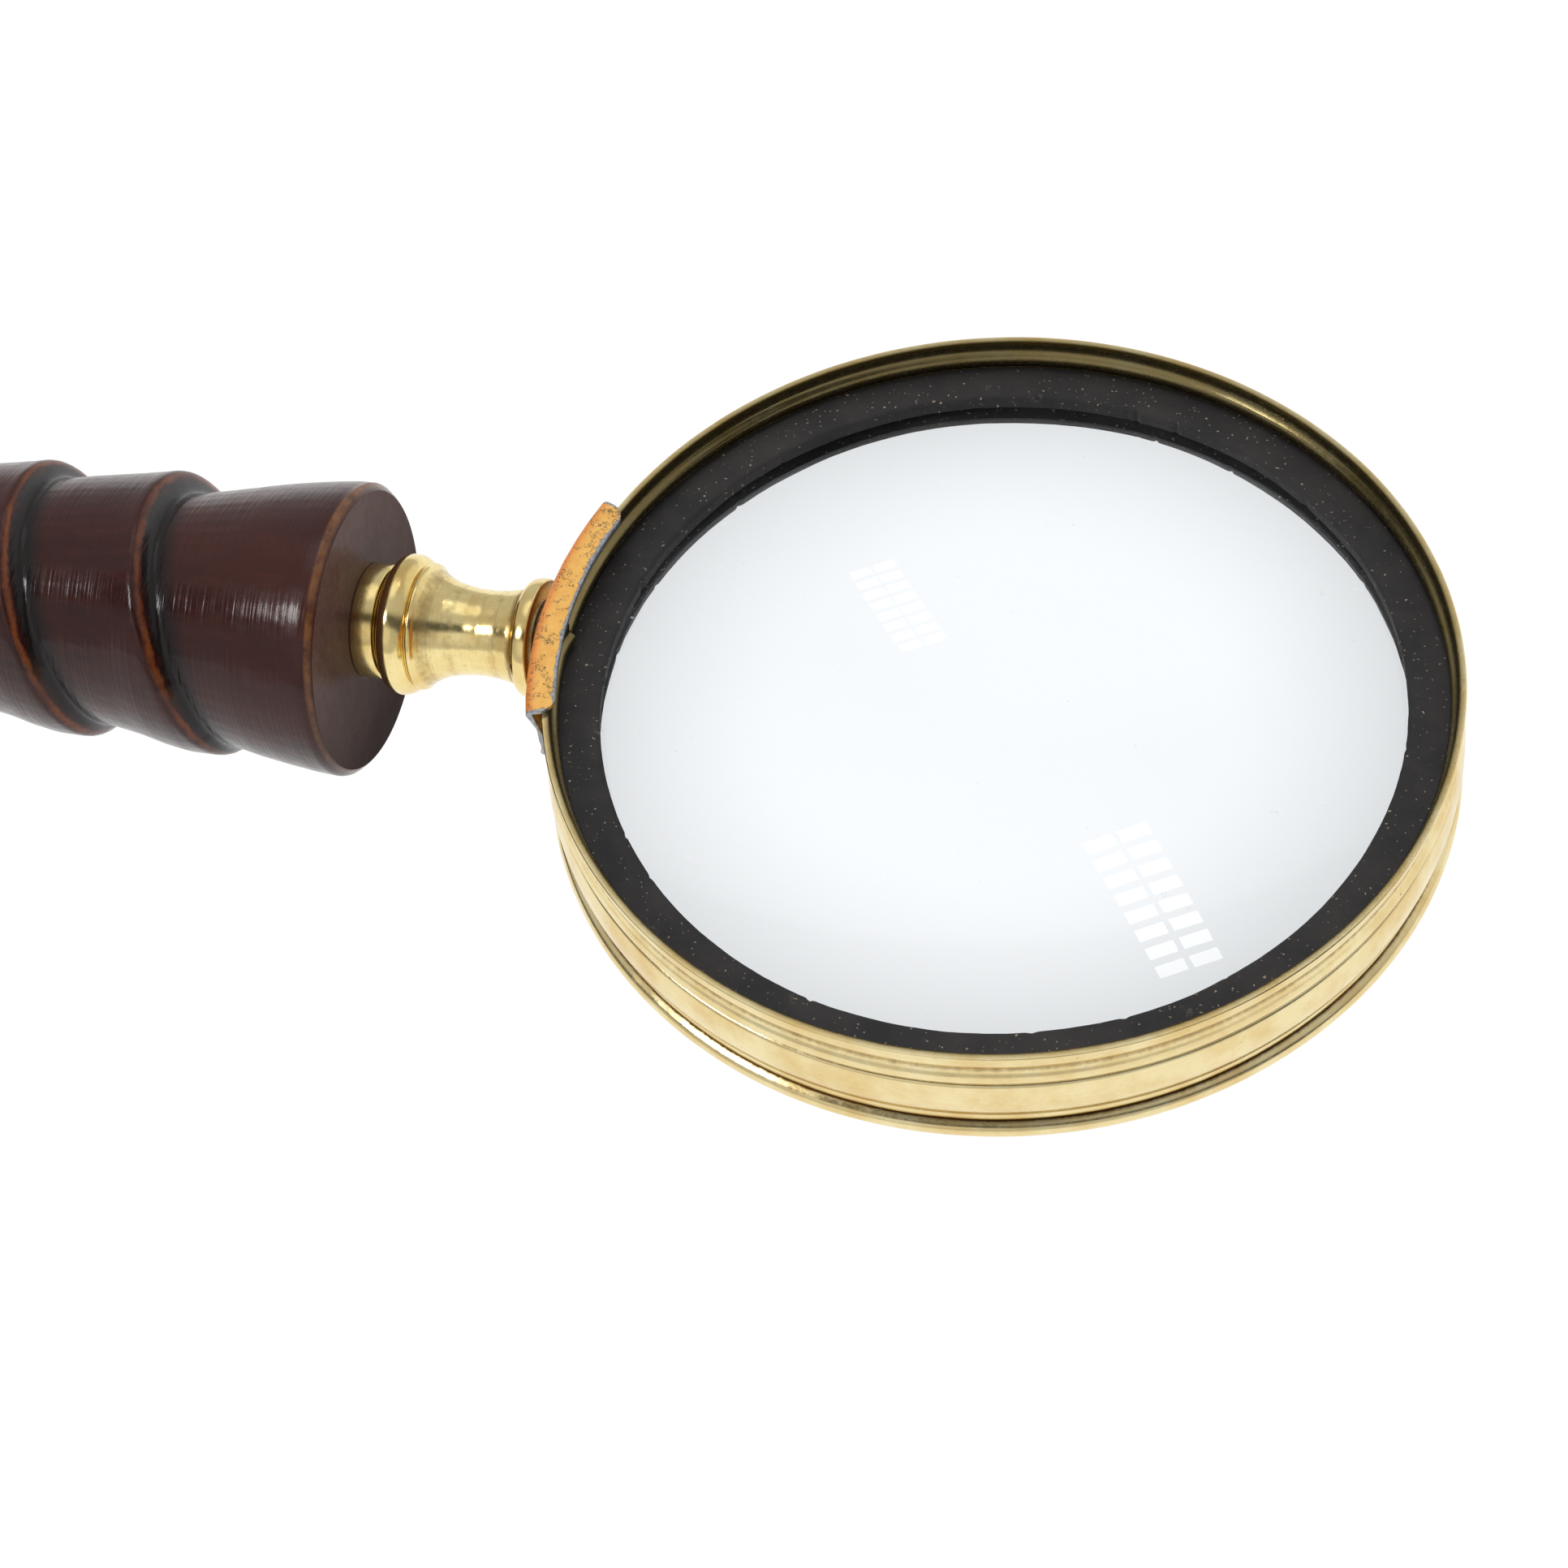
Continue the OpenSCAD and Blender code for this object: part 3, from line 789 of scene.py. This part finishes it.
def make_neck():
    """The neck's turned outside, the screw bore and washer recess in its face, and the spigot behind."""
    outer = stations("neck", HANDLE, 4.9)
    face, tail = outer[0][0], outer[-1][0]
    bore = STUD + CLEARANCE
    bore_end = 12.0
    recess = face + 0.26
    spigot_end = tail + 5.68
    outline = [(bore_end, 0.02), (bore_end, bore), (recess, bore), (recess, WASHER_R + 0.2), (face, 4.85)]
    outline += outer
    outline += [(tail + 0.02, SPIGOT_R), (tail + 5.5, SPIGOT_R), (spigot_end, 3.7), (spigot_end, 0.02)]
    path = smooth_outline(outline, 0.22, 42, 0.08)
    revolve("neck_turned", "handle", "neck", BRASS_TURNED, path, HANDLE, 220, window=1.3)


def make_ferrule():
    """Torus and collar, a square shoulder behind them, and the sleeve that goes into the grip."""
    outer = stations("ferrule", HANDLE, 5.05)
    start, end = outer[0][0], outer[-1][0]
    collar = [p for p in outer if p[1] > 5.6]
    sleeve = [p for p in outer if p[0] > collar[-1][0]]
    shoulder = [(collar[-1][0], 5.48)]
    socket_end = 20.8
    socket = [(socket_end, ROD + 0.02), (socket_end, SOCKET_R), (start, SOCKET_R + 0.03)]
    outline = socket + collar + shoulder + sleeve + [(end, 3.1)]
    path = smooth_outline(outline, 0.2, 42, 0.08)
    revolve("ferrule_turned", "handle", "ferrule", BRASS_TURNED, path, HANDLE, 220, window=1.0)


def grip_skin(face, end, side, around, step):
    """Rows along the grip that follow its askew lips, and the CAD grip's radius at each row and angle.
    Rays from outside find the radius about the grip's own axis."""
    node = frame["nodes"]["grip"]
    to_handle = HANDLE.inverted()
    corners = [(to_handle @ v.co) / MM for v in node.data.vertices]
    tree = BVHTree.FromPolygons(corners, [tuple(f.vertices) for f in node.data.polygons])
    length = end - face
    rows = np.linspace(0, length, round(length / step) + 1)
    sway = np.clip(rows / 9, 0, 1) * np.clip((length - rows) / 9, 0, 1)
    skin = np.zeros((len(rows), around))
    places = np.zeros((len(rows), around))
    for k in range(around):
        angle = TAU * k / around
        out = Vector((math.cos(angle), math.sin(angle), 0))
        lean = LIP_LEAN * math.cos(angle - LEAN_SIDE)
        for i, s in enumerate(rows):
            places[i, k] = face + s + sway[i] * lean
            middle = Vector((0, side, min(max(places[i, k], face + 0.01), end - 0.01)))
            hit = tree.ray_cast(middle + out * 40, -out)[0]
            skin[i, k] = (hit - middle).dot(out) if hit is not None else skin[i - 1, k]
    return rows, places, skin


def behind_lip(rows, skin):
    """For each row, how far it lies behind the nearest lip, in millimetres."""
    rise = np.diff(skin.mean(1))
    reach = round(6 / (rows[1] - rows[0]))
    edges = [rows[i] for i in range(reach, len(rows) - reach)
             if rise[i] > 0.03 and rise[i] == rise[i - reach : i + reach + 1].max()]
    return [min((s - edge for edge in edges), key=abs) for s in rows]


def soften(values, step, reach):
    """Gaussian average down the rows, reach millimetres wide."""
    half = round(3 * reach / step)
    kernel = np.exp(-0.5 * (np.arange(-half, half + 1) * step / reach) ** 2)
    kernel /= kernel.sum()
    padded = np.pad(values, ((half, half), (0, 0)), mode="edge")
    return sum(kernel[i] * padded[i : i + len(values)] for i in range(2 * half + 1))


def make_grip():
    """The ringed grip: the CAD skin with rounded lips and soft coves, its chamfered face and bores."""
    local = [(HANDLE.inverted() @ v.co) / MM for v in frame["nodes"]["grip"].data.vertices]
    face = min(v.z for v in local)
    end = max(v.z for v in local)
    front = [v for v in local if v.z < face + 0.05 and math.hypot(v.x, v.y) > 12]
    side = (max(v.y for v in front) + min(v.y for v in front)) / 2
    around = 240
    step = 0.1
    rows, places, skin = grip_skin(face, end, side, around, step)
    soft = soften(skin, step, 0.52)
    # The chamfer at the face and the roll at the butt stay crisp.
    keep = np.clip((rows - 0.3) / 0.8, 0, 1) * np.clip((rows[-1] - rows - 0.5) / 1.5, 0, 1)
    soft = skin + (soft - skin) * keep[:, None]
    mean = soften(soft, step, 1.6)
    behind = behind_lip(rows, skin)
    vertices, edge, lip, hollow, front_mark = [], [], [], [], []

    def ring(z, radius, offset, worn=0.0, from_lip=20.0, depth=None, on_face=0.0):
        for k in range(around):
            angle = TAU * k / around
            vertices.append((radius[k] * math.cos(angle), offset + radius[k] * math.sin(angle), z[k]))
            edge.append(worn)
            lip.append(from_lip)
            hollow.append(0.0 if depth is None else depth[k])
            front_mark.append(on_face)

    flat = np.ones(around)
    mouth = SLEEVE_BORE + 0.02
    for depth, radius in ((SLEEVE_DEPTH, ROD_BORE), (SLEEVE_DEPTH, SLEEVE_BORE), (0.0, mouth)):
        ring(flat * (face + depth), flat * radius, 0.0)
    for share in (0.12, 0.4, 0.7, 0.93, 1.0):
        ring(flat * face, mouth + (soft[0] - 0.05 - mouth) * share, side * share, on_face=1.0)
    for i in range(0, len(rows), 3):
        z = places[i] if i else places[i] + 0.04
        ring(z, soft[i], side, 1.0 if 0.2 < rows[i] < 0.75 else 0.0, behind[i], mean[i] - soft[i])
    ring(flat * end, (soft[-1] + POCKET_R + 0.05) / 2, side / 2)
    ring(flat * end, flat * (POCKET_R + 0.02), 0.0)
    ring(flat * (end - POCKET_DEPTH), flat * POCKET_R, 0.0)
    ring(flat * (end - POCKET_DEPTH), flat * ROD_BORE, 0.0)
    count = len(vertices) // around
    faces = []
    for row in range(count):
        here, there = row * around, (row + 1) % count * around
        for k in range(around):
            k2 = (k + 1) % around
            faces.append((here + k2, here + k, there + k, there + k2))
    piece("grip_turned", "handle", "grip", GRIP, vertices, faces, HANDLE, 38,
          edge=edge, lip=lip, hollow=hollow, front=front_mark)


def make_cap():
    """The turned end cap with its blind screw bore."""
    outer = stations("butt_cap", HANDLE, 3.15)
    start, end = outer[0][0], outer[-1][0]
    bore_end = end - 2.0
    outline = [(bore_end, 0.02), (bore_end, ROD + CLEARANCE), (start, 3.1)] + outer + [(end, 0.02)]
    path = smooth_outline(outline, 0.2, 42, 0.1)
    revolve("butt_cap_turned", "end_cap", "butt_cap", BRASS_TURNED, path, HANDLE, 200, window=1.0)


# ---- stage, light and camera -------------------------------------------------


def glowing(name, size, place, watts, aim=(0, 0, 0)):
    """A square white area light at a place, turned towards its aim."""
    light = bpy.data.lights.new(name, "AREA")
    light.shape = "RECTANGLE"
    light.size = size
    light.size_y = size
    light.energy = watts
    thing = bpy.data.objects.new(name, light)
    thing.location = place
    thing.rotation_euler = (Vector(place) - Vector(aim)).to_track_quat("Z", "Y").to_euler()
    bpy.context.scene.collection.objects.link(thing)
    return thing


def make_floor():
    """A pale table just under the object, sloping from the far edge of the rim to the rear of the grip."""
    grip_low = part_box("grip")[0]
    rim_low, rim_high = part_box("rim_band")
    far = Vector((rim_high.x, 0, rim_low.z))
    rear = Vector((grip_low.x * 0.9, 0, grip_low.z))
    along = (far - rear).normalized()
    up = Vector((-along.z, 0, along.x))
    lowest = [v.co for node in ("grip", "rim_band") for v in frame["nodes"][node].data.vertices]
    drop = min((place - far).dot(up) for place in lowest)
    gap = 0.0002
    centre = far + up * (drop - gap)
    size = 6.0
    signs = ((-1, -1), (1, -1), (1, 1), (-1, 1))
    corners = [centre + along * x * size + Vector((0, y * size, 0)) for x, y in signs]
    mesh = bpy.data.meshes.new("floor")
    mesh.from_pydata([tuple(c) for c in corners], [], [(0, 1, 2, 3)])
    p = Paint("floor_pale")
    # It glows by itself, so that no shade or horizon shows through the lens.
    p.set(Base_Color=(0.0, 0.0, 0.0), Roughness=0.9, Specular_IOR_Level=0.0)
    p.set(Emission_Color=(1.0, 1.0, 1.0), Emission_Strength=1.03)
    mesh.materials.append(p.material)
    floor = bpy.data.objects.new("floor", mesh)
    bpy.context.scene.collection.objects.link(floor)


def make_world():
    """White to the camera; to all else a dim room with three brighter patches and a dark band."""
    world = bpy.data.worlds.new("studio")
    bpy.context.scene.world = world
    world.use_nodes = True
    tree = world.node_tree
    nodes, links = tree.nodes, tree.links

    def node(kind, *inputs, **settings):
        made = nodes.new("ShaderNode" + kind)
        for key, value in settings.items():
            setattr(made, key, value)
        for socket, value in zip(made.inputs, inputs):
            if isinstance(value, bpy.types.NodeSocket):
                links.new(value, socket)
            elif value is not None:
                socket.default_value = value
        return made

    way = node("TexCoord").outputs["Generated"]

    def patch(towards, inner, outer):
        """1 inside a cone round a direction, fading to 0, half angles in degrees."""
        unit = Vector(towards).normalized()
        near = node("VectorMath", way, tuple(unit), operation="DOT_PRODUCT").outputs["Value"]
        fade = node("MapRange", near, math.cos(math.radians(outer)), math.cos(math.radians(inner)), 0.0, 1.0,
                    interpolation_type="SMOOTHSTEP")
        return fade.outputs[0]

    def lerp(factor, a, b):
        made = node("Mix", factor, data_type="FLOAT")
        for socket, value in ((made.inputs[2], a), (made.inputs[3], b)):
            if isinstance(value, bpy.types.NodeSocket):
                links.new(value, socket)
            else:
                socket.default_value = value
        return made.outputs[0]

    glow = lerp(patch((-0.25, 0.30, 0.92), 9, 22), 0.58, 1.15)
    glow = lerp(patch((0.6, 0.7, 0.35), 14, 34), glow, 0.9)
    glow = lerp(patch((-0.2, -0.85, 0.5), 10, 26), glow, 0.8)
    # A dark band overhead on the viewer's side, which gives turned brass its brown middle.
    beside = node("VectorMath", way, (0, 0.808, 0.589), operation="DOT_PRODUCT").outputs["Value"]
    beside = node("Math", beside, operation="ABSOLUTE").outputs[0]
    band = node("MapRange", beside, 0.08, 0.26, 1.0, 0.0, interpolation_type="SMOOTHSTEP").outputs[0]
    glow = lerp(band, glow, 0.10)
    room = nodes["Background"]
    colour = node("CombineColor", glow, glow, glow)
    links.new(colour.outputs[0], room.inputs[0])
    white = node("Background", (1, 1, 1, 1), 1.0)
    camera_ray = node("LightPath").outputs["Is Camera Ray"]
    mixer = node("MixShader", camera_ray, room.outputs[0], white.outputs[0])
    links.new(mixer.outputs[0], nodes["World Output"].inputs[0])


def make_light_grid():
    """A small ceiling panel of separate strips, seen only as a reflection."""
    towards = Vector((0.0, 0.43, 0.90)).normalized()
    distance = 1.5
    rows, columns = 8, 2
    row_pitch, column_pitch = 0.032, 0.05
    half_length, half_width = 0.021, 0.010
    centre = towards * distance
    across = towards.cross(Vector((1, 0, 0))).normalized()
    across = Matrix.Rotation(math.radians(39), 3, towards) @ across
    side = across.cross(towards)
    vertices, faces = [], []
    for row in range(rows):
        for column in range(columns):
            down = across * (row - (rows - 1) / 2) * row_pitch
            beside = side * (column - (columns - 1) / 2) * column_pitch
            middle = centre + down + beside
            base = len(vertices)
            for x, y in ((-1, -1), (1, -1), (1, 1), (-1, 1)):
                vertices.append(tuple(middle + side * x * half_length + across * y * half_width))
            faces.append((base, base + 1, base + 2, base + 3))
    mesh = bpy.data.meshes.new("ceiling_strips")
    mesh.from_pydata(vertices, [], faces)
    p = Paint("strip_light")
    glow = p.add("Emission", {"Color": (1, 1, 1), "Strength": 5.0})
    p.tree.links.new(glow.outputs[0], p.output.inputs["Surface"])
    mesh.materials.append(p.material)
    panel = bpy.data.objects.new("ceiling_strips", mesh)
    bpy.context.scene.collection.objects.link(panel)
    panel.visible_camera = False
    panel.visible_shadow = False
    panel.visible_diffuse = False


def make_camera():
    """The viewing angle of the object: its direction, roll and distance from the aim point."""
    azimuth, elevation, roll = math.radians(20.27), math.radians(52.163), math.radians(-5.772)
    aim = Vector((-0.02197, -0.01411, 0))
    distance = 0.64255
    back = Vector((math.sin(azimuth) * math.cos(elevation), -math.cos(azimuth) * math.cos(elevation),
                   math.sin(elevation)))
    data = bpy.data.cameras.new("camera")
    data.sensor_width = 36
    data.lens = 130.74
    camera = bpy.data.objects.new("camera", data)
    camera.location = aim + back * distance
    turn = (-back).to_track_quat("-Z", "Y").to_matrix() @ Matrix.Rotation(roll, 3, "Z")
    camera.rotation_euler = turn.to_euler()
    bpy.context.scene.collection.objects.link(camera)
    bpy.context.scene.camera = camera


def make_lights():
    """A broad light overhead that casts no reflection, and a small window that does."""
    overhead = glowing("overhead", 0.7, (-0.25, 0.5, 1.15), 8)
    overhead.visible_glossy = False
    overhead.visible_transmission = False
    window = glowing("window", 0.16, (-0.454, -0.33, 0.50), 1.3, (-0.09, 0, 0))
    window.visible_transmission = False


# ---- the object and its stage ------------------------------------------------

make_rim()
make_lens()
make_gasket("upper_gasket_ring", "upper_gasket", 1, 3)
make_gasket("lower_gasket_ring", "lower_gasket", -1, 8)
make_clip()
make_stud()
make_washer("neck_washer_steel", "front_washer", "neck_washer", WASHER_R, STUD + CLEARANCE)
make_neck()
make_ferrule()
make_grip()
make_washer("butt_washer_steel", "rear_washer", "butt_washer", BUTT_WASHER_R, ROD + CLEARANCE)
make_cap()
make_rod()

make_floor()
make_world()
make_light_grid()
make_camera()
make_lights()
bpy.context.scene.view_settings.view_transform = "Standard"
